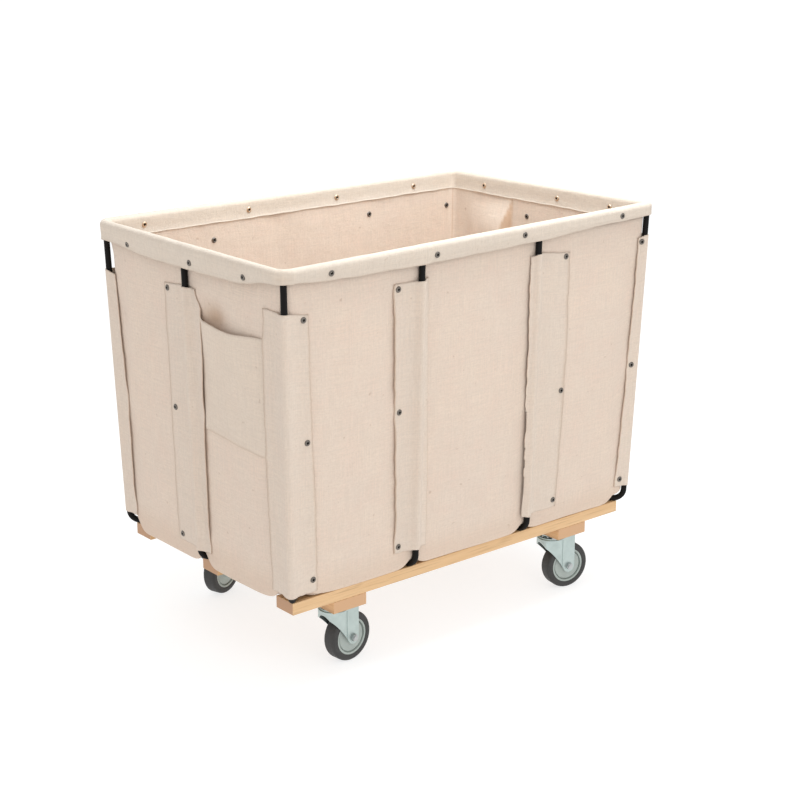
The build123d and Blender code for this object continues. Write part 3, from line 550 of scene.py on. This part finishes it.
def make_wall_strip(name):
    strip = WALL_STRIPS[name]
    left_line, right_line, top_line = through(strip.left), through(strip.right), through(strip.top)
    left_wave, right_wave = waver(name + "l", strip.left_edge[0]), waver(name + "r", strip.right_edge[0])
    left_rag, right_rag = waver(name + "m", RAGGED_DEPTH, RAGGED), waver(name + "s", RAGGED_DEPTH, RAGGED)
    low_wave = waver(name + "b", 1.6, (60, 23))
    rows, tints = [], []
    for row in range(STRIP_ROWS + 1):
        share = row / STRIP_ROWS
        near_z = mix(strip.low, top_line(0), share)
        start = left_line(near_z) + left_wave(near_z) + left_rag(near_z)
        end = right_line(near_z) + right_wave(near_z) + right_rag(near_z)
        offsets = [mix(start, -ARCH, i / 9) for i in range(9)]
        offsets += [mix(-ARCH, ARCH, i / 14) for i in range(14)]
        offsets += [mix(ARCH, end, i / 9) for i in range(10)]
        line = []
        for offset in offsets:
            z = mix(strip.low + low_wave(offset), top_line(offset) + 0.4 * low_wave(offset * 2), share)
            line.append(strip_point(name, offset, z))
        rows.append(line)
        tints.append(edge_shade(len(offsets), row))
    return cloth_object("sleeve_" + name, rows, thickness=STRIP, tints=tints)


# Corner strips: the flap's width along the long side and along the end as (height, width), tops at
# the end flap's tip, the rib and the long flap's tip, rivets on the long flap (offset, height).
# The last two say how far the flaps' edges waver and lift.
CornerStrip = namedtuple("CornerStrip", "long_side end low tops rivets long_edge end_edge")
CORNER_STRIPS = {
    "near_left": CornerStrip(
        [(214, 62), (773, 54)], [(212, 57), (524, 62), (777, 63)], 214, (785, 784, 776),
        [(42, 767), (45, 525), (52, 240)], (0.8, 1.0), (0.9, 2.4)),
    "near_right": CornerStrip(
        [(240, 34), (520, 27), (804, 23)], [(240, 60), (808, 56)], 236, (806, 808, 803),
        [(14, 794), (15, 519), (21, 253)], (2.0, 3.0), (1.0, 1.0)),
    "far_right": CornerStrip(
        [(228, 38), (800, 34)], [(228, 58), (800, 54)], 228, (800, 797, 799),
        [(22, 786), (22, 514), (24, 242)], (1.6, 2.0), (1.0, 1.2)),
    "far_left": CornerStrip(
        [(224, 60), (750, 58)], [(224, 36), (480, 40), (690, 34), (744, 27)], 224, (757, 763, 765),
        [(44, 738), (44, 488), (44, 242)], (1.0, 1.0), (2.2, 3.6)),
}
WRAP = RIB_RADIUS + STRIP + 0.25    # the strip's outer face round a corner rib
WRAP_FALL = 17.0                    # how quickly it comes down to the wall


def corner_point(corner, place, z):
    """Place is minus the distance along the end, plus that along the long side, and the
    rounded part over the rib lies between -1 and 1."""
    strip = CORNER_STRIPS[corner]
    sx, sy = SIGNS[corner]
    drop = RING_Z - z
    cx, cy = CORNER_X - LEAN_X * drop, CORNER_Y - LEAN_Y * drop
    wx, wy = WALL_X - LEAN_X * drop, WALL_Y - LEAN_Y * drop
    if abs(place) <= 1:
        turn = math.radians(45 * (place + 1))
        return Vector((sx * (cx + WRAP * math.cos(turn)), sy * (cy + WRAP * math.sin(turn)), z))
    held = edge_hold(strip.rivets, z)
    along = abs(place) - 1
    over = OVER_POCKET * (corner == "near_left" and place < 0)
    flat = SEAT + over * ease((along - 38) / 10) * ease((740 - z) / 12) * ease((z - 478) / 12)
    if place > 0:
        wall, a = ("near", sx * (cx - along)) if sy < 0 else ("far", -sx * (cx - along))
        edge = strip.long_edge[1] * held * math.exp(-max(0.0, through(strip.long_side)(z) - along) / CURL)
        out = cloth(wall, a, z) + edge + mix(flat, WRAP - (wy - cy), hump(along, 0, WRAP_FALL))
        return Vector((sx * (cx - along), sy * (wy + out), z))
    wall, a = ("right", sy * (cy - along)) if sx > 0 else ("left", -sy * (cy - along))
    edge = strip.end_edge[1] * held * math.exp(-max(0.0, through(strip.end)(z) - along) / CURL)
    out = cloth(wall, a, z) + edge + mix(flat, WRAP - (wx - cx), hump(along, 0, WRAP_FALL))
    return Vector((sx * (wx + out), sy * (cy - along), z))


def make_corner_strip(corner):
    strip = CORNER_STRIPS[corner]
    long_line, end_line = through(strip.long_side), through(strip.end)
    long_wave, end_wave = waver(corner + "x", strip.long_edge[0]), waver(corner + "y", strip.end_edge[0])
    long_rag, end_rag = waver(corner + "m", RAGGED_DEPTH, RAGGED), waver(corner + "s", RAGGED_DEPTH, RAGGED)
    low_wave = waver(corner + "b", 1.6, (55, 21))
    sx, sy = SIGNS[corner]
    rows, tints = [], []
    for row in range(STRIP_ROWS + 1):
        share = row / STRIP_ROWS
        near_z = mix(strip.low, strip.tops[1], share)
        end_tip = -1 - end_line(near_z) - end_wave(near_z) - end_rag(near_z)
        long_tip = 1 + long_line(near_z) + long_wave(near_z) + long_rag(near_z)
        places = [mix(end_tip, -1, i / 11) for i in range(11)]
        places += [mix(-1, 1, i / 8) for i in range(8)]
        places += [mix(1, long_tip, i / 11) for i in range(12)]
        line = []
        for place in places:
            tip, reach = (strip.tops[0], end_tip) if place < 0 else (strip.tops[2], long_tip)
            top = mix(strip.tops[1], tip, ease(place / reach)) + 0.4 * low_wave(place * 2)
            z = mix(strip.low + low_wave(place), top, share)
            line.append(corner_point(corner, place, z))
        if sx * sy < 0:
            line.reverse()
        rows.append(line)
        tints.append(edge_shade(len(places), row))
    return cloth_object("sleeve_corner_" + corner, rows, thickness=STRIP, tints=tints)


# ---- the pocket -------------------------------------------------------------------------------
POCKET_FROM, POCKET_TO = 33.0, 247.0        # its sides, along the left wall
POCKET_LOW = through([(33, 496), (236, 487)])                 # its seam and its mouth as
POCKET_TOP = through([(33, 731), (48, 723), (140, 718), (236, 724)])   # (place, height)
POCKET_ROWS, POCKET_COLUMNS = 40, 48
POCKET_BELLY = 11.0                 # how far its mouth stands off the wall


def make_pocket():
    rows, tints = [], []
    last_row, last_column = POCKET_ROWS - 1, POCKET_COLUMNS - 1
    for row in range(POCKET_ROWS):
        share = row / last_row
        line, shade = [], []
        for column in range(POCKET_COLUMNS):
            across = column / last_column
            a = mix(POCKET_FROM, POCKET_TO, across)
            z = mix(POCKET_LOW(a), POCKET_TOP(a), share)
            belly = max(0.0, math.sin(math.pi * min(1, across / 0.94) ** 0.8)) ** 0.7
            out = cloth("left", a, z) + SEAT + POCKET_BELLY * belly * ease(share) ** 2.2
            out += 10 * hump(a, 82, 40) * hump(z, 738, 34) * ease(share * 3 - 2)
            out += 0.7 * noise.noise(Vector((a / 45, z / 60, 31.0))) * belly
            out += 0.7 * (row < 2) + 0.6 * (row > last_row - 2)
            up = z - POCKET_LOW(a)
            crease = hump(up, 26 - 0.12 * (a - 140), 5) - hump(up, 15 - 0.1 * (a - 140), 5)
            out += 1.3 * crease * hump(a, 150, 55)
            line.append(on_wall("left", a, z, out))
            shade.append(0.3 * (row == 0) + 0.25 * (column in (0, last_column)))
        rows.append(line)
        tints.append(shade)
    return cloth_object("end_pocket", rows, thickness=STRIP, tints=tints)


# ---- rivets -----------------------------------------------------------------------------------
# tubular rivets as (radius, height): an open middle, then a curled rim round it
RIVET_OUTLINE = [
    (0.0, 0.0), (2.0, 0.0), (2.3, 1.1),
    (2.9, 1.9), (3.7, 2.1), (5.0, 1.7), (6.0, 0.9), (6.4, 0.0), (6.3, -0.8),
]
OPEN_RINGS = 3                      # how many of these points belong to the open middle
RIVET_SIDES = 24


def make_rivets(name, places, warm=0):
    """One mesh of rivet heads, each at (point, outward direction). The last few may be warm."""
    verts, faces, tints = [], [], []
    for index, (point, out) in enumerate(places):
        turn = out.normalized().to_track_quat("Z", "X")
        first = len(verts)
        for ring, (radius, height) in enumerate(RIVET_OUTLINE):
            for side in range(RIVET_SIDES):
                angle = math.tau * side / RIVET_SIDES
                local = Vector((radius * math.cos(angle), radius * math.sin(angle), height))
                verts.append((point + turn @ local) * MM)
                # open middles get tint 1, painted near black as painted shade in the hollow; washers at the
                # end get -1, brass
                tints.append(1.0 if ring < OPEN_RINGS else -1.0 * (index >= len(places) - warm))
        for ring in range(len(RIVET_OUTLINE) - 1):
            for side in range(RIVET_SIDES):
                after = (side + 1) % RIVET_SIDES
                low, high = first + ring * RIVET_SIDES, first + (ring + 1) * RIVET_SIDES
                faces.append((low + side, high + side, high + after, low + after))
    mesh = bpy.data.meshes.new(name)
    mesh.from_pydata(verts, [], faces)
    mesh.polygons.foreach_set("use_smooth", [True] * len(faces))
    mesh.attributes.new("tint", "FLOAT", "POINT").data.foreach_set("value", tints)
    obj = bpy.data.objects.new(name, mesh)
    scene.collection.objects.link(obj)
    return obj


def facing(point_at, u, v):
    """The outward direction of a surface at (u, v)."""
    across = point_at(u + 2, v) - point_at(u - 2, v)
    up = point_at(u, v + 2) - point_at(u, v - 2)
    return across.cross(up).normalized()


def hem_rivet_places():
    """Heads on the outer flap and washers on the inner one."""
    heads, washers = [], []
    for wall, spots in HEM_RIVETS.items():
        _, (ax, ay), (nx, ny), _ = WALLS[wall]
        line = RING_Y if wall in ("near", "far") else RING_X
        for a, z in zip(spots, HEM_RIVET_Z[wall]):
            out = Vector((nx, ny, 0))
            base = Vector((ax * a + nx * line, ay * a + ny * line, 0))
            section = hem_section(wall, a, HEM_EDGE[wall](a), hem_rise(base.x, base.y))
            outer_flap = section[:len(OUTER_SHARES)]
            outer = min((abs(height - z), offset) for offset, height in outer_flap)[1]
            base.z = z
            heads.append((base + out * (outer + 0.3), out))
            washers.append((base - out * (HEM_RADIUS + 0.1), -out))
    return heads, washers


def sleeve_rivet_places():
    """Heads on the sleeves and washers inside the basket."""
    places = []
    for name, strip in WALL_STRIPS.items():
        wall = strip.wall
        _, _, (nx, ny), _ = WALLS[wall]
        for offset, z in strip.rivets:
            out = facing(lambda u, v: strip_point(name, u, v), offset, z)
            places.append((strip_point(name, offset, z) + out * 0.4, out))
            a = strip.rib + offset
            back = on_wall(wall, a, z, cloth(wall, a, z) - WASHER_BACK)
            places.append((back, Vector((-nx, -ny, 0))))
    for corner, strip in CORNER_STRIPS.items():
        sx, sy = SIGNS[corner]
        for offset, z in strip.rivets:
            out = facing(lambda u, v: corner_point(corner, u, v), offset + 1, z)
            if out.y * sy < 0:
                out = -out
            places.append((corner_point(corner, offset + 1, z) + out * 0.4, out))
            wall = "near" if sy < 0 else "far"
            x = sx * (CORNER_X - LEAN_X * (RING_Z - z) - offset)
            a = x if sy < 0 else -x
            back = on_wall(wall, a, z, cloth(wall, a, z) - WASHER_BACK)
            places.append((back, Vector((0, -sy, 0))))
    return places


# ---- materials --------------------------------------------------------------------------------
class Paint:
    """A procedural material, and short ways to add nodes to it."""

    def __init__(self, name, color, roughness, metallic=0.0):
        self.material = bpy.data.materials.new(name)
        self.material.use_nodes = True
        self.tree = self.material.node_tree
        self.shader = self.tree.nodes["Principled BSDF"]
        self.shader.inputs["Base Color"].default_value = (*color, 1)
        self.shader.inputs["Roughness"].default_value = roughness
        self.shader.inputs["Metallic"].default_value = metallic

    def node(self, kind, settings=None, **inputs):
        """A new node. Inputs go by name, with _ for a space, or by number as i0, i1 and so on."""
        made = self.tree.nodes.new("ShaderNode" + kind)
        for key, value in (settings or {}).items():
            setattr(made, key, value)
        for key, value in inputs.items():
            numbered = key[0] == "i" and key[1:].isdigit()
            self.put(made.inputs[int(key[1:]) if numbered else key.replace("_", " ")], value)
        return made

    def put(self, socket, value):
        if isinstance(value, bpy.types.NodeSocket):
            self.tree.links.new(value, socket)
        else:
            socket.default_value = value

    def coordinates(self, which, scale):
        source = self.node("TexCoord").outputs[which]
        return self.node("Mapping", Vector=source, Scale=scale).outputs["Vector"]

    def noise(self, vector, scale, detail=4.0, roughness=0.5):
        made = self.node("TexNoise", Vector=vector, Scale=scale, Detail=detail, Roughness=roughness)
        return made.outputs["Fac"]

    def math(self, operation, a, b=0.0):
        return self.node("Math", {"operation": operation}, i0=a, i1=b).outputs[0]

    def blend(self, factor, a, b):
        made = self.node("Mix", {"data_type": "RGBA"}, i0=factor, i6=a, i7=b)
        return made.outputs[2]

    def stretch(self, value, low, high, to_low=0.0, to_high=1.0):
        made = self.node("MapRange", Value=value, From_Min=low, From_Max=high, To_Min=to_low, To_Max=to_high)
        return made.outputs[0]

    def bump(self, height, strength, distance):
        made = self.node("Bump", Height=height, Strength=strength, Distance=distance)
        self.put(self.shader.inputs["Normal"], made.outputs["Normal"])


UNEVEN = 0.06                       # how much the roughness of a hard surface varies, each way


def toned(color, red, green=None, blue=None):
    """A colour times one factor, or times a factor for each channel."""
    green = red if green is None else green
    blue = red if blue is None else blue
    return (color[0] * red, color[1] * green, color[2] * blue, 1)


def canvas_paint(name, color, warm, weave=1.0):
    """Cotton duck: a plain weave, slubs in both directions, mottling, flecks, and from the tint attribute a
    painted warm shade and a painted pale highlight.
    """
    p = Paint(name, color, 0.92)
    p.put(p.shader.inputs["Sheen Weight"], 0.12)
    uv = p.coordinates("UV", (1, 1, 1))
    threads = [
        p.node("TexWave", {"bands_direction": axis}, Vector=uv, Scale=210.0, Distortion=0.6, Detail=1.0,
               Detail_Scale=0.4).outputs["Fac"]
        for axis in ("X", "Y")]
    woven = p.math("MULTIPLY", threads[0], threads[1])
    warp = p.noise(p.coordinates("UV", (420, 14, 1)), 1.0, 3.0, 0.6)
    weft = p.noise(p.coordinates("UV", (14, 420, 1)), 1.0, 3.0, 0.6)
    slub = p.math("ADD", warp, weft)
    cloud = p.noise(uv, 5.5, 5.0, 0.55)
    blotch = p.noise(uv, 19.0, 6.0, 0.6)
    base = p.blend(p.stretch(cloud, 0.34, 0.66), (*color, 1), toned(color, 1.05, 1.03, 1.0))
    base = p.blend(p.stretch(blotch, 0.42, 0.75, 0.0, 0.6), base, (*warm, 1))
    base = p.blend(p.stretch(slub, 0.8, 1.2, 0.0, 0.8), base, toned(color, 0.9))
    fleck = p.noise(uv, 170.0, 3.0, 0.7)
    base = p.blend(p.stretch(fleck, 0.44, 0.66, 0.0, 0.5), base, toned(color, 0.86, 0.83, 0.80))
    spots = p.noise(uv, 60.0, 2.0, 0.5)
    base = p.blend(p.stretch(spots, 0.70, 0.78, 0.0, 0.55), base, toned(color, 0.62, 0.52, 0.45))
    base = p.blend(p.stretch(woven, 0.0, 1.0, 0.08, 0.0), base, toned(color, 0.72))
    # Tint above 0 darkens warmly: painted shade in recesses and folds, and a darker lower edge. Below 0 it
    # paints a pale highlight.
    painted_light_and_tone = p.node("Attribute", {"attribute_name": "tint"}).outputs["Fac"]
    base = p.blend(p.math("MULTIPLY", painted_light_and_tone, 0.8), base, toned(color, 0.72, 0.55, 0.40))
    base = p.blend(p.stretch(painted_light_and_tone, 0.0, -1.0), base, (0.95, 0.88, 0.78, 1))
    p.put(p.shader.inputs["Base Color"], base)
    height = p.math("ADD", p.math("MULTIPLY", woven, 0.5 * weave), p.math("MULTIPLY", slub, 0.7))
    height = p.math("ADD", height, p.math("MULTIPLY", p.noise(uv, 45.0, 5.0, 0.6), 2.2))
    height = p.math("ADD", height, p.math("MULTIPLY", p.noise(uv, 13.0, 4.0, 0.55), 4.5))
    p.bump(height, 0.7, 0.0008)
    return p.material


def wood_paint(name, along, face, dark, end):
    """Sawn boards: long grain with darker lines and a few knots, and darker end grain."""
    p = Paint(name, face, 0.55)
    axis = "xyz".index(along)
    stretch = [46.0, 46.0, 46.0]
    stretch[axis] = 1.6
    place = p.coordinates("Object", stretch)
    grain = p.noise(place, 1.0, 8.0, 0.62)
    fine = p.coordinates("Object", [v * 7 for v in stretch])
    pores = p.noise(fine, 1.0, 3.0, 0.5)
    lines = p.coordinates("Object", [4.0 if k == axis else 30.0 for k in range(3)])
    direction = {"bands_direction": "Y" if axis == 0 else "X"}
    bands = p.node("TexWave", direction, Vector=lines, Scale=0.7, Distortion=7.0, Detail=3.0,
                   Detail_Scale=1.2).outputs["Fac"]
    base = p.blend(p.stretch(grain, 0.3, 0.72), (*face, 1), (*dark, 1))
    base = p.blend(p.stretch(bands, 0.45, 0.95, 0.0, 0.8), base, toned(dark, 0.8))
    base = p.blend(p.stretch(pores, 0.55, 0.72, 0.0, 0.5), base, toned(dark, 0.6))
    knots = p.coordinates("Object", [3.2 if k == axis else 9.0 for k in range(3)])
    spots = p.node("TexVoronoi", Vector=knots, Scale=1.0).outputs["Distance"]
    base = p.blend(p.stretch(spots, 0.03, 0.10, 0.7, 0.0), base, toned(dark, 0.34))
    normal = p.node("NewGeometry").outputs["Normal"]
    facing_end = p.math("ABSOLUTE", p.node("SeparateXYZ", Vector=normal).outputs[axis])
    p.put(p.shader.inputs["Base Color"], p.blend(p.stretch(facing_end, 0.8, 0.95), base, (*end, 1)))
    p.put(p.shader.inputs["Roughness"], p.stretch(grain, 0.2, 0.8, 0.42, 0.62))
    p.bump(p.math("ADD", grain, pores), 0.3, 0.0007)
    return p.material


def metal_base(name, color, roughness, metallic=1.0, grain=260.0, bump=0.06, darker=0.86):
    """Plated, painted or moulded parts: slightly uneven colour and gloss. Also gives the colour."""
    p = Paint(name, color, roughness, metallic)
    place = p.coordinates("Object", (1, 1, 1))
    large, small = p.noise(place, 42.0, 5.0, 0.6), p.noise(place, grain, 3.0, 0.5)
    base = p.blend(p.stretch(large, 0.35, 0.7), (*color, 1), toned(color, darker))
    gloss = p.stretch(p.math("ADD", large, small), 0.7, 1.3, roughness - UNEVEN, roughness + UNEVEN)
    p.put(p.shader.inputs["Roughness"], gloss)
    p.bump(small, bump, 0.0004)
    p.put(p.shader.inputs["Base Color"], base)
    return p, base


def metal_paint(*wanted, **options):
    """The finished material, where nothing more is added. It takes what metal_base takes."""
    return metal_base(*wanted, **options)[0].material


def rib_paint(name):
    """Black enamelled bar, slightly rough, with little shine."""
    p, _ = metal_base(name, (0.004, 0.003, 0.0025), 0.62, 0.0, bump=0.1)
    p.put(p.shader.inputs["Specular IOR Level"], 0.18)
    return p.material


def rivet_paint(name):
    """Nickel rivets, with their open middles painted near black as painted shade. Those inside the rim are
    brassier.
    """
    p, base = metal_base(name, (0.20, 0.18, 0.16), 0.36)
    painted_light_and_tone = p.node("Attribute", {"attribute_name": "tint"}).outputs["Fac"]
    base = p.blend(p.stretch(painted_light_and_tone, 0.0, -1.0), base, (0.66, 0.50, 0.36, 1))
    # painted shade: the open middles go near black
    base = p.blend(p.stretch(painted_light_and_tone, 0.3, 0.9), base, (0.012, 0.010, 0.009, 1))
    p.put(p.shader.inputs["Base Color"], base)
    return p.material


PAINTS = {
    "basket_canvas": canvas_paint("basket_canvas", (0.77, 0.64, 0.535), (0.79, 0.585, 0.48)),
    "hem_canvas": canvas_paint("hem_canvas", (0.715, 0.62, 0.525), (0.72, 0.59, 0.48), 0.8),
    "sleeve_canvas": canvas_paint("sleeve_canvas", (0.755, 0.64, 0.54), (0.77, 0.59, 0.48), 1.2),
    "pocket_canvas": canvas_paint("pocket_canvas", (0.75, 0.635, 0.53), (0.75, 0.60, 0.49)),
    "black_rib_steel": rib_paint("black_rib_steel"),
    "runner_wood": wood_paint(
        "runner_wood", "x", (0.80, 0.54, 0.30), (0.64, 0.39, 0.18), (0.48, 0.275, 0.155)),
    "cross_board_wood": wood_paint(
        "cross_board_wood", "y", (0.72, 0.45, 0.22), (0.56, 0.31, 0.14), (0.62, 0.37, 0.20)),
    "rivet_metal": rivet_paint("rivet_metal"),
    "fastener_steel": metal_paint("fastener_steel", (0.50, 0.52, 0.52), 0.34),
    "zinc_steel": metal_paint("zinc_steel", (0.50, 0.58, 0.56), 0.40, darker=0.88),
    "bearing_steel": metal_paint("bearing_steel", (0.60, 0.60, 0.60), 0.20),
    "core_plastic": metal_paint("core_plastic", (0.40, 0.45, 0.42), 0.48, 0.0, bump=0.2, grain=900.0),
    "tyre_rubber": metal_paint("tyre_rubber", (0.038, 0.037, 0.036), 0.60, 0.0, bump=0.25),
}


def dress(obj, slot_name):
    obj.data.materials.clear()
    obj.data.materials.append(PAINTS[slot_name])


for part in record["subparts"]:
    dress(frame["nodes"][part["node"]], part["material_slot"])


def place_piece(obj, slot_name, *nodes):
    """Puts a new piece on the truck in place of its CAD nodes."""
    dress(obj, slot_name)
    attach(obj, "truck")
    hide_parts(*nodes)


basket = make_canvas()
place_piece(basket, "basket_canvas", "canvas_body")
hem = make_hem()
place_piece(hem, "hem_canvas", "rim_hem")
rim_heads, rim_washers = hem_rivet_places()
hem_rivets = make_rivets("hem_rivet_heads", rim_heads + rim_washers, warm=len(rim_washers))
place_piece(hem_rivets, "rivet_metal", "hem_rivets")
sleeve_rivets = make_rivets("sleeve_rivet_heads", sleeve_rivet_places())
place_piece(sleeve_rivets, "rivet_metal", "sleeve_rivets")
pocket = make_pocket()
place_piece(pocket, "pocket_canvas", "pocket")
for strip_name, shape in WALL_STRIPS.items():
    strip = make_wall_strip(strip_name)
    place_piece(strip, "sleeve_canvas", "rib_sleeve_" + strip_name)
for corner_name, shape in CORNER_STRIPS.items():
    strip = make_corner_strip(corner_name)
    place_piece(strip, "sleeve_canvas", "rib_sleeve_corner_" + corner_name)

# ---- floor, light and camera ------------------------------------------------------------------
floor_mesh = bpy.data.meshes.new("floor")
floor_mesh.from_pydata([(-30, -30, 0), (30, -30, 0), (30, 30, 0), (-30, 30, 0)], [], [(0, 1, 2, 3)])
floor = bpy.data.objects.new("floor", floor_mesh)
scene.collection.objects.link(floor)
floor_paint = Paint("floor_paint", (0.36, 0.36, 0.36), 0.9)
floor_paint.shader.inputs["Emission Color"].default_value = (1, 1, 1, 1)
floor_paint.shader.inputs["Emission Strength"].default_value = 0.73
floor_mesh.materials.append(floor_paint.material)

world = bpy.data.worlds.new("studio")
world.use_nodes = True
world.node_tree.nodes["Background"].inputs["Color"].default_value = (1, 1, 1, 1)
world.node_tree.nodes["Background"].inputs["Strength"].default_value = 0.86
scene.world = world
scene.view_settings.view_transform = "Standard"


def soft_light(name, place, aim, size, power, color):
    lamp = bpy.data.lights.new(name, "AREA")
    lamp.shape = "DISK"
    lamp.size = size
    lamp.energy = power
    lamp.color = color
    obj = bpy.data.objects.new(name, lamp)
    scene.collection.objects.link(obj)
    obj.location = place
    obj.rotation_mode = "QUATERNION"
    obj.rotation_quaternion = (Vector(aim) - Vector(place)).to_track_quat("-Z", "Y")


soft_light("key", (-0.6, -3.6, 2.6), (0, 0, 0.45), 1.6, 17, (1, 1, 1))
soft_light("top", (0.22, -0.2, 2.0), (0.05, 0, 0.6), 1.0, 25, (0.88, 0.96, 1.0))

# The camera: direction and roll, written in degrees, then in metres its distance and the point
# that it looks at.
AZIMUTH, ELEVATION, ROLL = (math.radians(v) for v in (-38.833, 16.756, -0.201))
DISTANCE = 3.75897
AIM_RIGHT, AIM_HEIGHT = -0.03814, 0.46908
level = math.cos(ELEVATION)
back = Vector((math.sin(AZIMUTH) * level, -math.cos(AZIMUTH) * level, math.sin(ELEVATION)))
right = Vector((math.cos(AZIMUTH), math.sin(AZIMUTH), 0))
up = back.cross(right)
camera_data = bpy.data.cameras.new("camera")
camera = bpy.data.objects.new("camera", camera_data)
scene.collection.objects.link(camera)
camera_data.sensor_width = 36
camera_data.lens = 77.565
camera_data.shift_x = 0.0463
camera_data.shift_y = -0.0079
eye = right * AIM_RIGHT + Vector((0, 0, AIM_HEIGHT)) + back * DISTANCE
turned_right = right * math.cos(ROLL) + up * math.sin(ROLL)
turned_up = up * math.cos(ROLL) - right * math.sin(ROLL)
rotation = Matrix((turned_right, turned_up, back)).transposed()
camera.matrix_world = Matrix.Translation(eye) @ rotation.to_4x4()
scene.camera = camera
